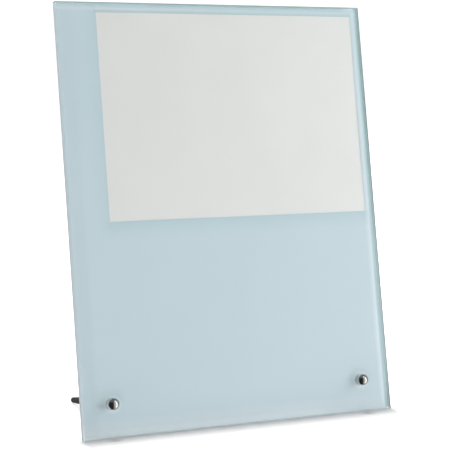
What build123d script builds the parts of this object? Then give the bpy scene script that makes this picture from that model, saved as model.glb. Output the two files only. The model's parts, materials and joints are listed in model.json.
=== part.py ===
from build123d import *
import math
import os

os.makedirs("parts", exist_ok=True)

# ---------------------------------------------------------------------------
# Driving dimensions, millimetres.
# Board frame used below: x across the board, u up along its face, n depth
# behind the front glass face. It is leaned back and set down at the end.
# ---------------------------------------------------------------------------
board_w = 200.0          # glass width
board_h = 255.7          # glass height along its face
glass_t = 5.0            # glass thickness
arris = 1.0              # 45 degree polished bevel on every outer edge
corner_r = 0.5           # softened corners

film_gap = 0.02          # adhesive layer between the glass and the film
film_t = 0.1             # coloured film on the back of the glass
film_inset = 1.0         # film stops at the rear bevel

window_left = 25.5       # clear window in the film, from the left edge
window_right = 5.5       # from the right edge
window_top = 5.7         # from the top edge
window_h = 125.0

card_w = 177.8           # 5 x 7 inch print, landscape
card_h = 127.0
card_t = 0.3
card_over_right = 2.2    # print reaches this far past the window on the right
card_over_bottom = 1.0
card_gap = 0.05          # air between the film and the print
card_side_gap = 0.3

rail_t = 0.5             # tape rails that carry the pocket sheet
rail_w = 6.0
pocket_t = 0.5           # pocket sheet
pocket_over_top = 2.0    # pocket sheet stands this far above the print
notch_r = 12.0           # thumb notch in its upper edge

stud_inset_x = 19.0      # stud axis from the side edge
stud_inset_u = 19.4      # and from the bottom edge
hole_r = 3.0             # drilled hole in the glass
film_hole_r = 3.2        # film is cut back round it

shank_r = 2.0            # M4 stud, pitch 0.7, as a plain cylinder
dome_r = 3.45
dome_rim = 0.6           # straight rim under the crown
dome_crown = 1.9         # crown height
front_washer_r = 3.2
front_washer_t = 1.2
sleeve_r = 2.9
sleeve_bore_r = 2.1
back_washer_r = 4.4
back_washer_bore_r = 2.15
back_washer_t = 1.0

engagement = 7.5         # thread inside the leg with the stud tight
insert_r = 2.8
insert_len = 8.0
insert_bore_r = 2.05
leg_root_r = 4.2         # leg radius at the glass
leg_end_r = 1.8          # radius of the ball end
leg_end_at = 86.0        # ball centre, behind the front face
leg_split_at = 64.0      # where the rubber tip starts
spigot_r = 1.2
spigot_len = 14.0
fit = 0.02               # air between pieces that are pressed together
seat = 0.03              # and between clear pieces that lie on each other

# ---------------------------------------------------------------------------
# Derived values.
# ---------------------------------------------------------------------------
n_film = glass_t + film_gap              # front of the film
n_back = n_film + film_t                 # rear of the film
n_card = n_back + card_gap
n_pocket = n_back + rail_t
n_leg = n_back + back_washer_t           # leg's seat, behind the washer
n_head = -front_washer_t                 # underside of the dome
stud_x = board_w / 2 - stud_inset_x

win_x0 = -board_w / 2 + window_left
win_x1 = board_w / 2 - window_right
win_u1 = board_h - window_top
win_u0 = win_u1 - window_h

card_x1 = win_x1 + card_over_right
card_x0 = card_x1 - card_w
card_u0 = win_u0 - card_over_bottom
card_u1 = card_u0 + card_h

rail_x1 = card_x1 + card_side_gap        # inner faces of the side rails
rail_x0 = card_x0 - card_side_gap
pocket_x0 = rail_x0 - rail_w
pocket_x1 = board_w / 2 - film_inset
pocket_u0 = card_u0 - rail_w
pocket_u1 = card_u1 + pocket_over_top

# The board stands on the rear edge of its bottom flat (u 0, n glass_t - arris)
# and on the two ball ends, which set how far it leans.
rest_n = glass_t - arris
a_, b_ = stud_inset_u, leg_end_at - rest_n
lean = math.degrees(math.acos(leg_end_r / math.hypot(a_, b_)) - math.atan2(b_, a_))
print(f"lean {lean:.3f} degrees")


def slab(x0, x1, u0, u1, n0, n1):
    """Block between these bounds, in the board frame (x, n, u)."""
    return Pos((x0 + x1) / 2, (n0 + n1) / 2, (u0 + u1) / 2) * Box(
        x1 - x0, n1 - n0, u1 - u0
    )


def rod(x, u, n0, n1, r):
    """Cylinder square to the glass."""
    return Pos(x, (n0 + n1) / 2, u) * Rot(90, 0, 0) * Cylinder(r, n1 - n0)


def tube(x, u, n0, n1, r, bore):
    return rod(x, u, n0, n1, r) - rod(x, u, n0 - 1, n1 + 1, bore)


def turned(points, x, u):
    """Solid of revolution about the stud axis from (radius, n) points."""
    line = Polyline(*[(r, -n) for r, n in points], close=True)
    solid = revolve(make_face(line.edges()), Axis.Y, 360)
    return Pos(x, 0, u) * Rot(180, 0, 0) * solid


parts = {}

# --- Glass pane: mitred polished bevels, softened corners, two drilled holes --
pane = Box(board_w, board_h, glass_t)
rims = pane.faces().sort_by(Axis.Z)
pane = chamfer(rims[0].edges() + rims[-1].edges(), arris)
pane &= extrude(RectangleRounded(board_w, board_h, corner_r), glass_t, both=True)
pane = Pos(0, 0, board_h / 2) * Rot(-90, 0, 0) * pane
pane_box = pane.bounding_box()
pane = Pos(0, -pane_box.min.Y, 0) * pane
for sx in (-1, 1):
    pane -= rod(sx * stud_x, stud_inset_u, -1, glass_t + 1, hole_r)
parts["glass_pane"] = pane

# --- Film on the back: picture window and two clearance holes ----------------
film = extrude(
    RectangleRounded(board_w - 2 * film_inset, board_h - 2 * film_inset, 0.5), film_t
)
film = Pos(0, 0, board_h / 2) * Rot(-90, 0, 0) * film
film_box = film.bounding_box()
film = Pos(0, n_film - film_box.min.Y, 0) * film
film -= slab(win_x0, win_x1, win_u0, win_u1, n_film - 1, n_back + 1)
for sx in (-1, 1):
    film -= rod(sx * stud_x, stud_inset_u, n_film - 1, n_back + 1, film_hole_r)
parts["back_film"] = film

# --- Print and the pocket that holds it --------------------------------------
parts["photo_card"] = slab(
    card_x0, card_x1, card_u0, card_u1, n_card, n_card + card_t
)
parts["pocket_rail_left"] = slab(
    pocket_x0, rail_x0, card_u0, pocket_u1, n_back, n_pocket
)
parts["pocket_rail_right"] = slab(
    rail_x1, pocket_x1, card_u0, pocket_u1, n_back, n_pocket
)
parts["pocket_rail_bottom"] = slab(
    pocket_x0, pocket_x1, pocket_u0, card_u0, n_back, n_pocket
)
sheet = slab(
    pocket_x0, pocket_x1, pocket_u0, pocket_u1, n_pocket, n_pocket + pocket_t
)
sheet -= rod(
    (card_x0 + card_x1) / 2, pocket_u1, n_pocket - 1, n_pocket + pocket_t + 1, notch_r
)
parts["pocket_sheet"] = sheet

# --- Studs, washers, sleeves and legs ----------------------------------------
# Dome: a spherical crown on a short straight rim, in one piece with the stud.
cap_r = (dome_r**2 + dome_crown**2) / (2 * dome_crown)
n_rim = n_head - dome_rim
n_stud = n_leg + engagement
half = math.asin(dome_r / cap_r) / 2
for name, x in (("left", -stud_x), ("right", stud_x)):
    u = stud_inset_u
    with BuildPart() as made:
        with BuildSketch(Plane.XY):
            with BuildLine():
                top = (0, -(n_rim - dome_crown))
                rim_edge = (dome_r, -n_rim)
                ThreePointArc(
                    top,
                    (
                        cap_r * math.sin(half),
                        -(n_rim - dome_crown + cap_r * (1 - math.cos(half))),
                    ),
                    rim_edge,
                )
                Polyline(
                    rim_edge,
                    (dome_r, -n_head - 0.15),
                    (dome_r - 0.15, -n_head),
                    (shank_r, -n_head),
                    (shank_r, -(n_stud - 0.4)),
                    (shank_r - 0.4, -n_stud),
                    (0, -n_stud),
                    top,
                )
            make_face()
        revolve(axis=Axis.Y)
    parts[f"{name}_dome_screw"] = Pos(x, 0, u) * Rot(180, 0, 0) * made.part

    parts[f"{name}_front_washer"] = tube(
        x, u, n_head + seat, -seat, front_washer_r, sleeve_bore_r
    )
    parts[f"{name}_hole_sleeve"] = tube(
        x, u, seat, n_back - seat, sleeve_r, sleeve_bore_r
    )
    parts[f"{name}_back_washer"] = tube(
        x, u, n_back, n_leg, back_washer_r, back_washer_bore_r
    )

    # Tapered leg from its seat to the rubber tip, with a spigot for the tip
    # and a bore for the threaded insert and the end of the stud.
    slope = (leg_root_r - leg_end_r) / (leg_end_at - n_leg)

    def radius_at(n):
        return leg_end_r + slope * (leg_end_at - n)

    n_bore = n_leg + insert_len + 2.0
    leg = turned(
        [
            (insert_r + fit, n_leg),
            (leg_root_r - 0.4, n_leg),
            (leg_root_r, n_leg + 0.4),
            (radius_at(leg_split_at), leg_split_at),
            (spigot_r, leg_split_at),
            (spigot_r, leg_split_at + spigot_len - 0.5),
            (spigot_r - 0.5, leg_split_at + spigot_len),
            (0, leg_split_at + spigot_len),
            (0, n_bore),
            (insert_bore_r + 0.1, n_bore),
            (insert_bore_r + 0.1, n_leg + insert_len),
            (insert_r + fit, n_leg + insert_len),
        ],
        x,
        u,
    )
    parts[f"{name}_leg"] = leg
    parts[f"{name}_leg_insert"] = tube(
        x, u, n_leg, n_leg + insert_len - fit, insert_r, insert_bore_r
    )

    # Rubber tip: the cone runs on to a ball end.
    k = math.atan(slope)
    ball_r = leg_end_r
    n_tan = leg_end_at + ball_r * math.sin(k)
    r_tan = ball_r * math.cos(k)
    mid = math.pi / 4 + k / 2
    with BuildPart() as made:
        with BuildSketch(Plane.XY):
            with BuildLine():
                s0 = leg_split_at + fit
                p0 = (spigot_r + fit, -s0)
                p1 = (radius_at(s0), -s0)
                p2 = (r_tan, -n_tan)
                p3 = (
                    ball_r * math.cos(mid),
                    -(leg_end_at + ball_r * math.sin(mid)),
                )
                p4 = (0, -(leg_end_at + ball_r))
                s1 = leg_split_at + spigot_len + 1.0
                Polyline(p0, p1, p2)
                ThreePointArc(p2, p3, p4)
                Polyline(p4, (0, -s1), (spigot_r + fit, -s1), p0)
            make_face()
        revolve(axis=Axis.Y)
    parts[f"{name}_leg_tip"] = Pos(x, 0, u) * Rot(180, 0, 0) * made.part

# ---------------------------------------------------------------------------
# Lean the assembly back about its resting edge, stand it on z = 0 and centre
# its footprint on the origin. The front face then looks along -Y.
# ---------------------------------------------------------------------------
lean_back = Rot(-lean, 0, 0) * Pos(0, -rest_n, 0)
placed = {name: lean_back * shape for name, shape in parts.items()}

boxes = [shape.bounding_box() for shape in placed.values()]
y_mid = (min(b.min.Y for b in boxes) + max(b.max.Y for b in boxes)) / 2
z_low = min(b.min.Z for b in boxes)
print(f"y_mid {y_mid:.5f}  z_low {z_low:.5f}")
home = Pos(0, -y_mid, -z_low)

for name, shape in placed.items():
    shape = home * shape
    shape.label = name
    export_step(shape, f"parts/{name}.step")
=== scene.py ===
import json
import math

import bmesh
import bpy
from mathutils import Matrix, Vector

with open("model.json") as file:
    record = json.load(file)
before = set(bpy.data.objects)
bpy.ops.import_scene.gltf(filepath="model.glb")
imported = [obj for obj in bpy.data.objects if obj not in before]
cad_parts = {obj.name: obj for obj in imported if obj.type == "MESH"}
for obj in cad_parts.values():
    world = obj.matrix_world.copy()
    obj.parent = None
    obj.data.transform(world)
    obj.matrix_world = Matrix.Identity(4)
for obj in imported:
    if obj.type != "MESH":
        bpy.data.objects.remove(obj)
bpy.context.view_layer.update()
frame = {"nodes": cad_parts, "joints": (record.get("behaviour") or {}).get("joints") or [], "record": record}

nodes = frame["nodes"]
scene = bpy.context.scene

# ---------------------------------------------------------------------------
# The board's own axes. X runs across it, U up along its face, N out of its
# front. O is the middle of the lower front edge line, in metres.
# ---------------------------------------------------------------------------
turn = next(j for j in frame["joints"] if j["name"] == "photo_slide")
U = Vector(turn["axis"]).normalized()
LEAN = math.atan2(U.y, U.z)
N = Vector((0.0, -math.cos(LEAN), math.sin(LEAN)))
X = Vector((1.0, 0.0, 0.0))
W, H, T, ARRIS = 0.200, 0.2557, 0.005, 0.001
edge = next(m for m in frame["record"]["mounts"] if m["name"] == "bottom_edge")
O = Vector(edge["pos_m"]) + N * 0.0025


def at(x, n, u):
    """Point x across, n behind the front face and u up it, all in metres."""
    return O + X * x - N * n + U * u


# ---------------------------------------------------------------------------
# Camera: the photograph's viewpoint.
# ---------------------------------------------------------------------------
AZ, EL, ROLL = math.radians(-22.382), math.radians(7.095), math.radians(0.288)
FOCAL_PX = 1315.569
EYE = Vector((-0.30352, -0.74896, 0.21617))
back = Vector((math.sin(AZ) * math.cos(EL), -math.cos(AZ) * math.cos(EL), math.sin(EL)))
right = (-back).cross(Vector((0, 0, 1))).normalized()
up = right.cross(-back)
r2 = right * math.cos(ROLL) + up * math.sin(ROLL)
u2 = up * math.cos(ROLL) - right * math.sin(ROLL)
cam_data = bpy.data.cameras.new("camera")
cam_data.sensor_fit = "HORIZONTAL"
cam_data.sensor_width = 36.0
cam_data.lens = 36.0 * FOCAL_PX / 450.0
cam_data.clip_start = 0.01
cam_data.clip_end = 50.0
cam = bpy.data.objects.new("camera", cam_data)
m = Matrix((r2, u2, back)).transposed().to_4x4()
m.translation = EYE
cam.matrix_world = m
scene.collection.objects.link(cam)
scene.camera = cam

scene.view_settings.view_transform = "Standard"
scene.view_settings.look = "None"


# ---------------------------------------------------------------------------
# Node helpers.
# ---------------------------------------------------------------------------
class Mat:
    def __init__(self, name):
        self.m = bpy.data.materials.new(name)
        self.m.use_nodes = True
        self.t = self.m.node_tree
        self.t.nodes.clear()
        self.out = self.t.nodes.new("ShaderNodeOutputMaterial")

    def n(self, kind, **kw):
        node = self.t.nodes.new(kind)
        for k, v in kw.items():
            setattr(node, k, v)
        return node

    def link(self, a, b):
        self.t.links.new(a, b)

    def coords(self):
        return self.n("ShaderNodeTexCoord").outputs["Object"]

    def noise(self, scale, detail=3.0, rough=0.5, vec=None):
        x = self.n("ShaderNodeTexNoise")
        x.inputs["Scale"].default_value = scale
        x.inputs["Detail"].default_value = detail
        x.inputs["Roughness"].default_value = rough
        self.link(vec or self.coords(), x.inputs["Vector"])
        return x.outputs["Fac"]

    def ramp(self, fac, stops):
        x = self.n("ShaderNodeValToRGB")
        e = x.color_ramp.elements
        while len(e) < len(stops):
            e.new(0.5)
        for el, (pos, col) in zip(e, stops):
            el.position = pos
            el.color = (*col, 1.0) if len(col) == 3 else col
        self.link(fac, x.inputs["Fac"])
        return x.outputs["Color"]

    def maprange(self, value, a, b, c, d):
        x = self.n("ShaderNodeMapRange")
        for k, v in zip(("From Min", "From Max", "To Min", "To Max"), (a, b, c, d)):
            x.inputs[k].default_value = v
        self.link(value, x.inputs["Value"])
        return x.outputs["Result"]

    def bump(self, height, strength, distance, normal=None):
        x = self.n("ShaderNodeBump")
        x.inputs["Strength"].default_value = strength
        x.inputs["Distance"].default_value = distance
        self.link(height, x.inputs["Height"])
        if normal:
            self.link(normal, x.inputs["Normal"])
        return x.outputs["Normal"]

    def principled(self, **kw):
        x = self.n("ShaderNodeBsdfPrincipled")
        for k, v in kw.items():
            s = x.inputs[k.replace("_", " ")]
            if isinstance(v, bpy.types.NodeSocket):
                self.link(v, s)
            else:
                s.default_value = v
        return x


def dress(piece, material):
    piece.data.materials.clear()
    piece.data.materials.append(material)
    for p in piece.data.polygons:
        p.material_index = 0


# ---------------------------------------------------------------------------
# Materials.
# ---------------------------------------------------------------------------
def board_frame(g):
    """Sockets for x, n and u of the shaded point, in metres in the board's axes."""
    p = g.coords()
    found = []
    for axis in (X, -N, U):
        dot = g.n("ShaderNodeVectorMath", operation="DOT_PRODUCT")
        g.link(p, dot.inputs[0])
        dot.inputs[1].default_value = axis
        less = g.n("ShaderNodeMath", operation="SUBTRACT")
        g.link(dot.outputs["Value"], less.inputs[0])
        less.inputs[1].default_value = O.dot(axis)
        found.append(less.outputs[0])
    return found


def math_node(g, op, a, b=None):
    node = g.n("ShaderNodeMath", operation=op)
    for i, v in enumerate((a, b)):
        if isinstance(v, bpy.types.NodeSocket):
            g.link(v, node.inputs[i])
        elif v is not None:
            node.inputs[i].default_value = v
    return node.outputs[0]


def lamps_pass(g, shader, lets=(1, 1, 1)):
    """Lamp light and light from matt faces goes straight through, so that what is behind is lit."""
    path = g.n("ShaderNodeLightPath")
    for name in ("Is Shadow Ray", "Is Diffuse Ray"):
        clear = g.n("ShaderNodeBsdfTransparent")
        clear.inputs["Color"].default_value = (*lets, 1)
        mix = g.n("ShaderNodeMixShader")
        g.link(path.outputs[name], mix.inputs[0])
        g.link(shader, mix.inputs[1])
        g.link(clear.outputs[0], mix.inputs[2])
        shader = mix.outputs[0]
    g.link(shader, g.out.inputs["Surface"])


def pane_material():
    """Clear faces, satin ground edges with painted light and shade, and hole walls."""
    g = Mat("clear_glass")
    face = g.principled(Base_Color=(0.992, 0.996, 0.995, 1), Transmission_Weight=1.0, IOR=1.52, Roughness=0.0)
    grind = g.noise(1800.0, 3.0, 0.6)
    x, n, u = board_frame(g)

    def side(value, limit, above=True):
        return math_node(g, "GREATER_THAN" if above else "LESS_THAN", value, limit)

    def pick(fac, a, b):
        mix = g.n("ShaderNodeMix", data_type="RGBA")
        g.link(fac, mix.inputs["Factor"])
        for key, v in (("A", a), ("B", b)):
            if isinstance(v, bpy.types.NodeSocket):
                g.link(v, mix.inputs[key])
            else:
                mix.inputs[key].default_value = (*v, 1.0)
        return mix.outputs["Result"]

    # the polish of each edge: outside, then as seen through the thickness of the glass; painted light and shade: each
    # side gets its own shade, the left face is painted paler towards the bottom, the inner right band darker higher up
    # and at its foot, and the top and bottom change along their length
    on_left = side(x, -W / 2 + ARRIS * 1.02, False)
    on_right = side(x, W / 2 - ARRIS * 1.02)
    on_top = side(u, H - ARRIS * 1.02)
    left_painted_shading = pick(side(n, T - ARRIS), (0.45, 0.49, 0.527), (0.38, 0.42, 0.45))
    bevel_painted_light = pick(g.maprange(u, 0.012, 0.090, 1.0, 0.0), (0.54, 0.615, 0.66), (0.62, 0.69, 0.73))
    bevel_painted_light = pick(g.maprange(u, 0.0, 0.010, 1.0, 0.0), bevel_painted_light, (0.80, 0.86, 0.88))
    left_painted_shading = pick(side(n, ARRIS, False), left_painted_shading, bevel_painted_light)
    end = g.maprange(x, -0.1, -0.02, 1.0, 0.0)
    top_outer = pick(end, (0.235, 0.302, 0.302), (0.265, 0.322, 0.328))
    top_inner = pick(end, (0.210, 0.318, 0.318), (0.250, 0.350, 0.355))
    # painted light: a paler patch on the inside of the top edge near its right end
    tail = math_node(g, "MULTIPLY", g.maprange(x, 0.086, 0.094, 0.0, 1.0), g.maprange(x, 0.0955, 0.0980, 1.0, 0.0))
    top_inner = pick(tail, top_inner, (0.36, 0.46, 0.475))
    outer = pick(on_top, pick(on_right, pick(on_left, (0.62, 0.71, 0.75), left_painted_shading), (0.14, 0.175, 0.18)), top_outer)
    teal_band_painted_shade = pick(g.maprange(u, 0.05, 0.18, 0.0, 1.0), (0.39, 0.495, 0.525), (0.285, 0.41, 0.42))
    teal_band_painted_shade = pick(g.maprange(u, 0.008, 0.030, 1.0, 0.0), teal_band_painted_shade, (0.31, 0.40, 0.42))
    base = pick(g.maprange(x, -0.1, -0.03, 1.0, 0.0), (0.70, 0.815, 0.855), (0.77, 0.88, 0.91))
    base = pick(g.maprange(x, 0.045, 0.070, 0.0, 1.0), base, (0.60, 0.70, 0.74))
    flank_in = pick(g.maprange(u, 0.008, 0.060, 1.0, 0.0), (0.59, 0.69, 0.72), (0.78, 0.86, 0.88))
    inner = pick(on_top, pick(on_right, pick(on_left, base, flank_in), teal_band_painted_shade), top_inner)
    geo = g.n("ShaderNodeNewGeometry")
    edge_teal_and_painted_shade = pick(geo.outputs["Backfacing"], outer, inner)
    worn = g.n("ShaderNodeMix", data_type="RGBA", blend_type="MULTIPLY")
    worn.inputs["Factor"].default_value = 1.0
    g.link(edge_teal_and_painted_shade, worn.inputs["A"])
    g.link(g.ramp(grind, [(0.3, (0.94, 0.94, 0.94)), (0.7, (1.0, 1.0, 1.0))]), worn.inputs["B"])
    edge_teal_and_painted_shade = worn.outputs["Result"]
    ground = g.principled(Base_Color=edge_teal_and_painted_shade, Roughness=0.35, Normal=g.bump(grind, 0.2, 0.00003))
    through = g.n("ShaderNodeBsdfTranslucent")
    g.link(edge_teal_and_painted_shade, through.inputs["Color"])
    edge = g.n("ShaderNodeMixShader")
    edge.inputs[0].default_value = 0.4
    g.link(ground.outputs[0], edge.inputs[1])
    g.link(through.outputs[0], edge.inputs[2])
    dot = g.n("ShaderNodeVectorMath", operation="DOT_PRODUCT")
    g.link(geo.outputs["True Normal"], dot.inputs[0])
    dot.inputs[1].default_value = N
    facing = math_node(g, "ABSOLUTE", dot.outputs["Value"])
    mask = math_node(g, "LESS_THAN", facing, 0.95)
    mix = g.n("ShaderNodeMixShader")
    g.link(mask, mix.inputs[0])
    g.link(face.outputs[0], mix.inputs[1])
    g.link(edge.outputs[0], mix.inputs[2])
    lamps_pass(g, mix.outputs[0])
    return g.m


def clear_material(name, tint, rough, ior):
    g = Mat(name)
    cloud = g.noise(300.0, 3.0, 0.6)
    p = g.principled(
        Base_Color=g.ramp(cloud, [(0.3, tint), (0.7, tuple(min(1, c + 0.02) for c in tint))]),
        Transmission_Weight=1.0, IOR=ior, Roughness=rough,
    )
    lamps_pass(g, p.outputs[0], (0.9, 0.93, 0.93))
    return g.m


def film_material():
    f = Mat("ice_blue_film")
    cloud = f.noise(9.0, 3.0, 0.5)
    fine = f.noise(900.0, 2.0, 0.6)
    x, _, u = board_frame(f)
    # painted shade: the film is a shade darker towards the right
    painted_shade_right = f.n("ShaderNodeMix", data_type="RGBA")
    f.link(f.maprange(x, -0.1, 0.1, 0.0, 1.0), painted_shade_right.inputs["Factor"])
    f.link(f.ramp(cloud, [(0.3, (0.500, 0.628, 0.688)), (0.7, (0.518, 0.646, 0.708))]), painted_shade_right.inputs["A"])
    f.link(f.ramp(cloud, [(0.3, (0.468, 0.580, 0.634)), (0.7, (0.486, 0.598, 0.652))]), painted_shade_right.inputs["B"])
    col = painted_shade_right.outputs["Result"]
    # the border that light from the ground edges reaches is a shade paler
    left = math_node(f, "ADD", x, W / 2)
    rest = math_node(f, "MINIMUM", left, math_node(f, "MINIMUM", u, math_node(f, "SUBTRACT", H, u)))
    a = f.maprange(rest, 0.0020, 0.0042, 0.25, 0.0)
    far = math_node(f, "SUBTRACT", W / 2, x)
    low = f.maprange(u, 0.06, 0.17, 1.0, 0.5)
    b = math_node(f, "MULTIPLY", f.maprange(far, 0.0034, 0.0064, 1.0, 0.0), low)
    foot = math_node(f, "MULTIPLY", f.maprange(u, 0.0020, 0.0110, 1.0, 0.0), f.maprange(x, 0.045, 0.070, 1.0, 0.6))
    down = math_node(f, "SUBTRACT", H, u)
    brow = math_node(f, "MULTIPLY", f.maprange(down, 0.0034, 0.0050, 1.0, 0.0), f.maprange(x, -0.06, 0.04, 0.80, 0.25))
    pale = f.n("ShaderNodeMix", data_type="RGBA")
    f.link(math_node(f, "MAXIMUM", math_node(f, "MAXIMUM", a, b), math_node(f, "MAXIMUM", foot, brow)), pale.inputs["Factor"])
    f.link(col, pale.inputs["A"])
    pale.inputs["B"].default_value = (0.615, 0.712, 0.765, 1.0)
    # painted light: paler along the bottom edge, except towards its right end
    painted_light_bottom = f.n("ShaderNodeMix", data_type="RGBA")
    f.link(math_node(f, "MULTIPLY", f.maprange(u, 0.0010, 0.0052, 0.55, 0.0), f.maprange(x, 0.045, 0.070, 1.0, 0.0)), painted_light_bottom.inputs["Factor"])
    f.link(pale.outputs["Result"], painted_light_bottom.inputs["A"])
    painted_light_bottom.inputs["B"].default_value = (0.710, 0.810, 0.860, 1.0)
    # painted shade: a darker teal band along the right edge
    painted_shade_right_edge = f.n("ShaderNodeMix", data_type="RGBA")
    reach_in = math_node(f, "ADD", far, f.maprange(u, 0.08, 0.17, -0.0006, 0.0))
    f.link(f.maprange(reach_in, 0.0015, 0.0029, 0.85, 0.0), painted_shade_right_edge.inputs["Factor"])
    f.link(painted_light_bottom.outputs["Result"], painted_shade_right_edge.inputs["A"])
    painted_shade_right_edge.inputs["B"].default_value = (0.335, 0.485, 0.510, 1.0)
    # painted shade: darker just under the top edge, less at its ends
    painted_shade_top_edge = f.n("ShaderNodeMix", data_type="RGBA")
    f.link(math_node(f, "MULTIPLY", f.maprange(down, 0.0010, 0.0035, 0.50, 0.0), math_node(f, "MULTIPLY", f.maprange(x, -0.1, -0.02, 0.80, 1.0), f.maprange(x, 0.086, 0.094, 1.0, 0.2))), painted_shade_top_edge.inputs["Factor"])
    f.link(painted_shade_right_edge.outputs["Result"], painted_shade_top_edge.inputs["A"])
    painted_shade_top_edge.inputs["B"].default_value = (0.310, 0.475, 0.505, 1.0)
    # painted shade: a thin darker line round the window, strongest along its top
    across = math_node(f, "SUBTRACT", math_node(f, "ABSOLUTE", math_node(f, "SUBTRACT", x, 0.010)), 0.0845)
    over = math_node(f, "SUBTRACT", u, 0.250)
    beyond = math_node(f, "MAXIMUM", across, math_node(
        f, "SUBTRACT", math_node(f, "ABSOLUTE", math_node(f, "SUBTRACT", u, 0.1875)), 0.0625))
    painted_shade_window_top = math_node(f, "MULTIPLY", f.maprange(over, 0.0004, 0.0022, 1.0, 0.0), math_node(
        f, "MULTIPLY", math_node(f, "GREATER_THAN", over, 0.0), math_node(f, "LESS_THAN", across, 0.001)))
    line = f.n("ShaderNodeMix", data_type="RGBA")
    f.link(math_node(f, "MAXIMUM", painted_shade_window_top, f.maprange(beyond, 0.0003, 0.0012, 0.20, 0.0)), line.inputs["Factor"])
    f.link(painted_shade_top_edge.outputs["Result"], line.inputs["A"])
    line.inputs["B"].default_value = (0.425, 0.560, 0.570, 1.0)
    col = line.outputs["Result"]
    # and painted shade: a soft darker band beneath it and to its left, another down the left side
    under = math_node(f, "SUBTRACT", 0.125, u)
    aside = math_node(f, "SUBTRACT", -0.0745, x)
    outside = math_node(f, "SUBTRACT", x, 0.0945)
    painted_shade_below_window = math_node(f, "MULTIPLY", f.maprange(under, 0.0020, 0.0095, 0.62, 0.0), math_node(
        f, "MULTIPLY", math_node(f, "GREATER_THAN", under, 0.0), math_node(
            f, "MULTIPLY", f.maprange(aside, 0.0, 0.0080, 1.0, 0.0), f.maprange(outside, 0.0, 0.0035, 1.0, 0.0))))
    left_painted_shading = math_node(f, "MULTIPLY", f.maprange(aside, 0.0008, 0.0090, 0.42, 0.0), math_node(
        f, "MULTIPLY", math_node(f, "GREATER_THAN", aside, 0.0), f.maprange(under, 0.0, 0.0080, 1.0, 0.0)))
    teal_band_painted_shade = f.n("ShaderNodeMix", data_type="RGBA", blend_type="MULTIPLY")
    f.link(math_node(f, "MAXIMUM", painted_shade_below_window, left_painted_shading), teal_band_painted_shade.inputs["Factor"])
    f.link(col, teal_band_painted_shade.inputs["A"])
    teal_band_painted_shade.inputs["B"].default_value = (0.80, 0.89, 0.89, 1.0)
    painted_shade_left_side = f.n("ShaderNodeMix", data_type="RGBA", blend_type="MULTIPLY")
    f.link(math_node(f, "MULTIPLY", f.maprange(left, 0.0085, 0.0120, 1.0, 0.0), f.maprange(u, 0.0, 0.256, 1.0, 0.3)), painted_shade_left_side.inputs["Factor"])
    f.link(teal_band_painted_shade.outputs["Result"], painted_shade_left_side.inputs["A"])
    painted_shade_left_side.inputs["B"].default_value = (0.935, 0.935, 0.935, 1.0)
    col = painted_shade_left_side.outputs["Result"]
    # painted light: the film is paler round each hole; painted shade: a dark ring at each hole's edge
    off = f.n("ShaderNodeCombineXYZ")
    f.link(math_node(f, "SUBTRACT", math_node(f, "ABSOLUTE", x), 0.081), off.inputs["X"])
    f.link(math_node(f, "SUBTRACT", u, 0.0194), off.inputs["Y"])
    reach = f.n("ShaderNodeVectorMath", operation="LENGTH")
    f.link(off.outputs[0], reach.inputs[0])
    painted_light_round_hole = f.n("ShaderNodeMix", data_type="RGBA")
    f.link(f.maprange(reach.outputs["Value"], 0.0038, 0.0062, 0.75, 0.0), painted_light_round_hole.inputs["Factor"])
    f.link(col, painted_light_round_hole.inputs["A"])
    painted_light_round_hole.inputs["B"].default_value = (0.680, 0.790, 0.840, 1.0)
    painted_shade_hole_ring = f.n("ShaderNodeMix", data_type="RGBA")
    f.link(f.maprange(reach.outputs["Value"], 0.00338, 0.00352, 0.9, 0.0), painted_shade_hole_ring.inputs["Factor"])
    f.link(painted_light_round_hole.outputs["Result"], painted_shade_hole_ring.inputs["A"])
    painted_shade_hole_ring.inputs["B"].default_value = (0.130, 0.180, 0.200, 1.0)
    # the back of the film is a duller grey blue
    rear = f.n("ShaderNodeVectorMath", operation="DOT_PRODUCT")
    f.link(f.n("ShaderNodeNewGeometry").outputs["True Normal"], rear.inputs[0])
    rear.inputs[1].default_value = N
    dull = f.n("ShaderNodeMix", data_type="RGBA")
    f.link(math_node(f, "LESS_THAN", rear.outputs["Value"], -0.5), dull.inputs["Factor"])
    f.link(painted_shade_hole_ring.outputs["Result"], dull.inputs["A"])
    f.link(f.ramp(cloud, [(0.3, (0.430, 0.525, 0.575)), (0.7, (0.455, 0.550, 0.600))]), dull.inputs["B"])
    col = dull.outputs["Result"]
    p = f.principled(
        Base_Color=col, Roughness=f.maprange(fine, 0.3, 0.7, 0.35, 0.5),
        Normal=f.bump(fine, 0.15, 0.00005),
    )
    f.link(p.outputs[0], f.out.inputs["Surface"])
    return f.m


def paper_material():
    f = Mat("white_card")
    fibre = f.noise(1400.0, 4.0, 0.7)
    cloud = f.noise(30.0, 3.0, 0.5)
    col = f.ramp(cloud, [(0.35, (0.684, 0.698, 0.688)), (0.65, (0.702, 0.716, 0.706))])
    p = f.principled(Base_Color=col, Roughness=0.85, Normal=f.bump(fibre, 0.35, 0.00005))
    f.link(p.outputs[0], f.out.inputs["Surface"])
    return f.m


def plastic_material(name, a, b, rough, scale=600.0, depth=0.00003, strength=0.3):
    f = Mat(name)
    grain = f.noise(scale, 4.0, 0.6)
    p = f.principled(
        Base_Color=f.ramp(grain, [(0.3, a), (0.7, b)]),
        Roughness=f.maprange(grain, 0.3, 0.7, rough - 0.06, rough + 0.06),
        Normal=f.bump(grain, strength, depth),
    )
    f.link(p.outputs[0], f.out.inputs["Surface"])
    return f.m


def metal_material(name, a, b, rough, scale=300.0):
    f = Mat(name)
    wear = f.noise(scale, 4.0, 0.65)
    p = f.principled(
        Base_Color=f.ramp(wear, [(0.35, a), (0.65, b)]), Metallic=1.0,
        Roughness=f.maprange(wear, 0.3, 0.7, rough, rough + 0.04),
    )
    f.link(p.outputs[0], f.out.inputs["Surface"])
    return f.m


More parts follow.
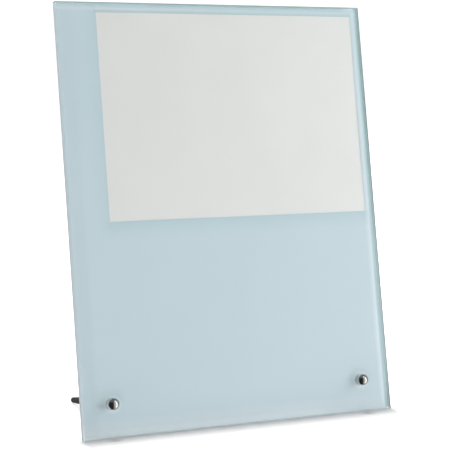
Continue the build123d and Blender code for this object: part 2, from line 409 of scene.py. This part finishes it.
GLASS = pane_material()
CLEAR = clear_material("clear_plastic", (0.90, 0.935, 0.945), 0.03, 1.46)
NYLON = plastic_material("white_nylon", (0.80, 0.81, 0.80), (0.85, 0.86, 0.85), 0.4, 1500.0)
FILM = film_material()
CARD = paper_material()
TAPE = plastic_material("foam_tape", (0.70, 0.70, 0.68), (0.76, 0.76, 0.74), 0.8, 2500.0, 0.00006, 0.6)
SHEET = plastic_material("pocket_plastic", (0.60, 0.61, 0.61), (0.66, 0.67, 0.67), 0.45, 1200.0)
CHROME = metal_material("chrome", (0.80, 0.80, 0.79), (0.84, 0.84, 0.83), 0.04)
BRASS = metal_material("brass", (0.72, 0.50, 0.20), (0.80, 0.60, 0.28), 0.25)
LEG = plastic_material("black_plastic", (0.024, 0.024, 0.025), (0.034, 0.034, 0.035), 0.5, 1800.0)
TIP = plastic_material("soft_rubber", (0.019, 0.019, 0.019), (0.027, 0.027, 0.027), 0.75, 1500.0)

for name, o in nodes.items():
    kind = name.split("_", 1)[1] if name.startswith(("left_", "right_")) else name
    dress(o, {
        "glass_pane": GLASS, "back_film": FILM, "photo_card": CARD,
        "pocket_rail_left": TAPE, "pocket_rail_right": TAPE, "pocket_rail_bottom": TAPE,
        "pocket_sheet": SHEET, "dome_screw": CHROME, "front_washer": CLEAR,
        "hole_sleeve": CLEAR, "back_washer": NYLON, "leg": LEG, "leg_insert": BRASS,
        "leg_tip": TIP,
    }[kind])

# ---------------------------------------------------------------------------
# Floor, light and surroundings.
# ---------------------------------------------------------------------------
mesh = bpy.data.meshes.new("floor")
s = 6.0
mesh.from_pydata([(-s, -s, 0), (s, -s, 0), (s, s, 0), (-s, s, 0)], [], [(0, 1, 2, 3)])
floor = bpy.data.objects.new("floor", mesh)
scene.collection.objects.link(floor)
fm = Mat("floor_white")
paint = fm.noise(4.0, 2.0)
span = fm.n("ShaderNodeVectorMath", operation="LENGTH")
fm.link(fm.coords(), span.inputs[0])
parts = fm.n("ShaderNodeSeparateXYZ")
fm.link(fm.coords(), parts.inputs[0])
# painted light: the floor glows behind the board and beside it, as a table lit from beneath would
beside = math_node(
    fm, "MAXIMUM", fm.maprange(parts.outputs["X"], 0.099, 0.1065, 0.0, 1.0),
    fm.maprange(parts.outputs["X"], -0.107, -0.0985, 1.0, 0.0),
)
lit = math_node(
    fm, "MULTIPLY", fm.maprange(span.outputs["Value"], 0.10, 1.0, 0.70, 0.85),
    math_node(
        fm, "MAXIMUM", fm.maprange(parts.outputs["Y"], -0.042, -0.032, 0.0, 1.0),
        math_node(
            fm, "MULTIPLY", beside,
            fm.maprange(parts.outputs["Y"], -0.090, -0.070, 0.0, 1.0),
        ),
    ),
)
# (that light doesn't reach matt surfaces, so that their backs aren't washed out)
rays = fm.n("ShaderNodeLightPath").outputs
lit = math_node(fm, "MULTIPLY", lit, math_node(fm, "SUBTRACT", 1.0, rays["Is Diffuse Ray"]))
# and everywhere that is far from it
lit = math_node(fm, "MAXIMUM", lit, fm.maprange(span.outputs["Value"], 0.9, 2.4, 0.0, 0.65))
lit = math_node(fm, "MAXIMUM", lit, math_node(
    fm, "MULTIPLY", rays["Is Camera Ray"], fm.maprange(span.outputs["Value"], 0.16, 1.2, 0.0, 0.9)))
p = fm.principled(
    Base_Color=fm.ramp(paint, [(0.3, (0.54, 0.54, 0.54)), (0.7, (0.56, 0.56, 0.56))]), Roughness=0.9,
    Emission_Color=(1.0, 1.0, 1.0, 1.0), Emission_Strength=lit,
)
p.inputs["Specular IOR Level"].default_value = 0.0
fm.link(p.outputs[0], fm.out.inputs["Surface"])
floor.data.materials.append(fm.m)
floor.visible_glossy = False


def towards(az, el):
    az, el = math.radians(az), math.radians(el)
    return Vector((math.sin(az) * math.cos(el), -math.cos(az) * math.cos(el), math.sin(el)))


def area(name, az, el, dist, size_x, size_y, power, target=(0, 0, 0.12), color=(1, 1, 1), shine=True):
    d = towards(az, el)
    data = bpy.data.lights.new(name, "AREA")
    data.shape = "RECTANGLE"
    data.size, data.size_y = size_x, size_y
    data.energy = power
    data.color = color
    o = bpy.data.objects.new(name, data)
    o.location = Vector(target) + d * dist
    o.rotation_euler = d.to_track_quat("Z", "Y").to_euler()
    o.visible_glossy = shine
    o.visible_transmission = False
    o.visible_camera = False
    scene.collection.objects.link(o)
    return o


area("soft_right", 38, 7, 1.2, 0.42, 0.42, 2.0, target=(0, 0, 0.06), shine=False)
area("side_right", 72, 10, 0.6, 0.4, 0.4, 1.7, target=(0, 0, 0.23), shine=False)
area("soft_top", 33, 51, 1.1, 0.36, 0.36, 0.6)
area("fill_front", 20, 7, 1.0, 1.4, 0.4, 2.74, target=(0, 0, 0.09), color=(0.96, 1.0, 0.97), shine=False)
area("side_left", -93, 6, 0.8, 0.3, 0.3, 3.0, target=(-0.1, 0, 0.12), shine=False)
area("back_top", 182, 76.0, 2.0, 0.14, 0.125, 65.5, shine=False)
area("back_soft", 140, 25, 1.0, 0.5, 0.5, 2.5, shine=False)

world = bpy.data.worlds.new("studio")
scene.world = world
world.use_nodes = True
wt = world.node_tree
wt.nodes.clear()


def wnode(kind, **kw):
    node = wt.nodes.new(kind)
    for k, v in kw.items():
        setattr(node, k, v)
    return node


def wrange(socket, a, b, c, d):
    node = wnode("ShaderNodeMapRange", interpolation_type="SMOOTHSTEP")
    for k, v in zip(("From Min", "From Max", "To Min", "To Max"), (a, b, c, d)):
        node.inputs[k].default_value = v
    wt.links.new(socket, node.inputs["Value"])
    return node.outputs["Result"]


def wmath(op, a, b):
    node = wnode("ShaderNodeMath", operation=op)
    for i, v in enumerate((a, b)):
        if isinstance(v, bpy.types.NodeSocket):
            wt.links.new(v, node.inputs[i])
        else:
            node.inputs[i].default_value = v
    return node.outputs[0]


def wramp(socket, stops):
    node = wnode("ShaderNodeValToRGB")
    e = node.color_ramp.elements
    while len(e) < len(stops):
        e.new(0.5)
    for el, (pos, col) in zip(e, stops):
        el.position, el.color = pos, (*col, 1.0)
    wt.links.new(socket, node.inputs["Fac"])
    return node.outputs["Color"]


def wmix(fac, a, b):
    node = wnode("ShaderNodeMix", data_type="RGBA")
    for key, v in (("Factor", fac), ("A", a), ("B", b)):
        if isinstance(v, bpy.types.NodeSocket):
            wt.links.new(v, node.inputs[key])
        elif key == "Factor":
            node.inputs[key].default_value = v
        else:
            node.inputs[key].default_value = (*v, 1.0)
    return node.outputs["Result"]


# Lit from all round, more from behind, dim in front.
sep = wnode("ShaderNodeSeparateXYZ")
wt.links.new(wnode("ShaderNodeTexCoord").outputs["Generated"], sep.inputs[0])
behind = wrange(sep.outputs["Y"], -0.05, 0.25, 0.0, 1.3)
above = wrange(sep.outputs["Z"], 0.70, 0.98, 0.0, 0.1)
level = wmath("MAXIMUM", wmath("MAXIMUM", behind, above), 0.30)
hind = wrange(sep.outputs["Y"], -0.05, 0.25, 0.0, 0.42)
soft = wmath("MAXIMUM", wmath("MAXIMUM", hind, above), 0.30)
# What polished metal mirrors: a dark room at the front left, pale screens to the right.
azimuth = wmath("ARCTAN2", sep.outputs["X"], wmath("MULTIPLY", sep.outputs["Y"], -1.0))
around = wrange(azimuth, -math.pi, math.pi, 0.0, 1.0)
around.node.interpolation_type = "LINEAR"


def turn_at(deg):
    return (deg + 180.0) / 360.0


def tone(v, warm=0.0):
    return (v * (1 + warm), v, v * (1 - warm))


room = wramp(around, [
    (turn_at(-120), tone(0.45)), (turn_at(-100), tone(0.20)), (turn_at(-86), tone(0.05)),
    (turn_at(-66), tone(0.015)), (turn_at(-30), tone(0.02)), (turn_at(-14), tone(0.035, 0.03)),
    (turn_at(-7), tone(0.07, 0.05)), (turn_at(2), tone(0.34, 0.07)), (turn_at(12), tone(0.46, 0.07)),
    (turn_at(32), tone(0.55, 0.05)), (turn_at(41), tone(1.05)), (turn_at(48), tone(2.30)),
    (turn_at(56), tone(0.95)), (turn_at(64), tone(0.50)), (turn_at(76), tone(0.42)),
    (turn_at(84), tone(0.12)), (turn_at(90), tone(0.10)), (turn_at(98), tone(0.32)),
    (turn_at(110), tone(0.42)),
])
roof = wrange(sep.outputs["Z"], 0.59, 0.77, 0.0, 1.0)
room = wmix(roof, room, (0.122, 0.135, 0.152))
pit = wrange(sep.outputs["Z"], -0.80, -0.55, 0.6, 0.0)
room = wmix(pit, room, (0.03, 0.03, 0.03))
path = wnode("ShaderNodeLightPath").outputs


def wgrey(socket):
    node = wnode("ShaderNodeCombineColor")
    for k in ("Red", "Green", "Blue"):
        wt.links.new(socket, node.inputs[k])
    return node.outputs[0]


look = wmix(path["Is Transmission Ray"], wgrey(soft), wgrey(level))
look = wmix(path["Is Glossy Ray"], look, room)
look = wmix(path["Is Camera Ray"], look, (1.1, 1.1, 1.1))
bg = wnode("ShaderNodeBackground")
wt.links.new(look, bg.inputs["Color"])
bg.inputs["Strength"].default_value = 1.0
wt.links.new(bg.outputs[0], wnode("ShaderNodeOutputWorld").inputs["Surface"])
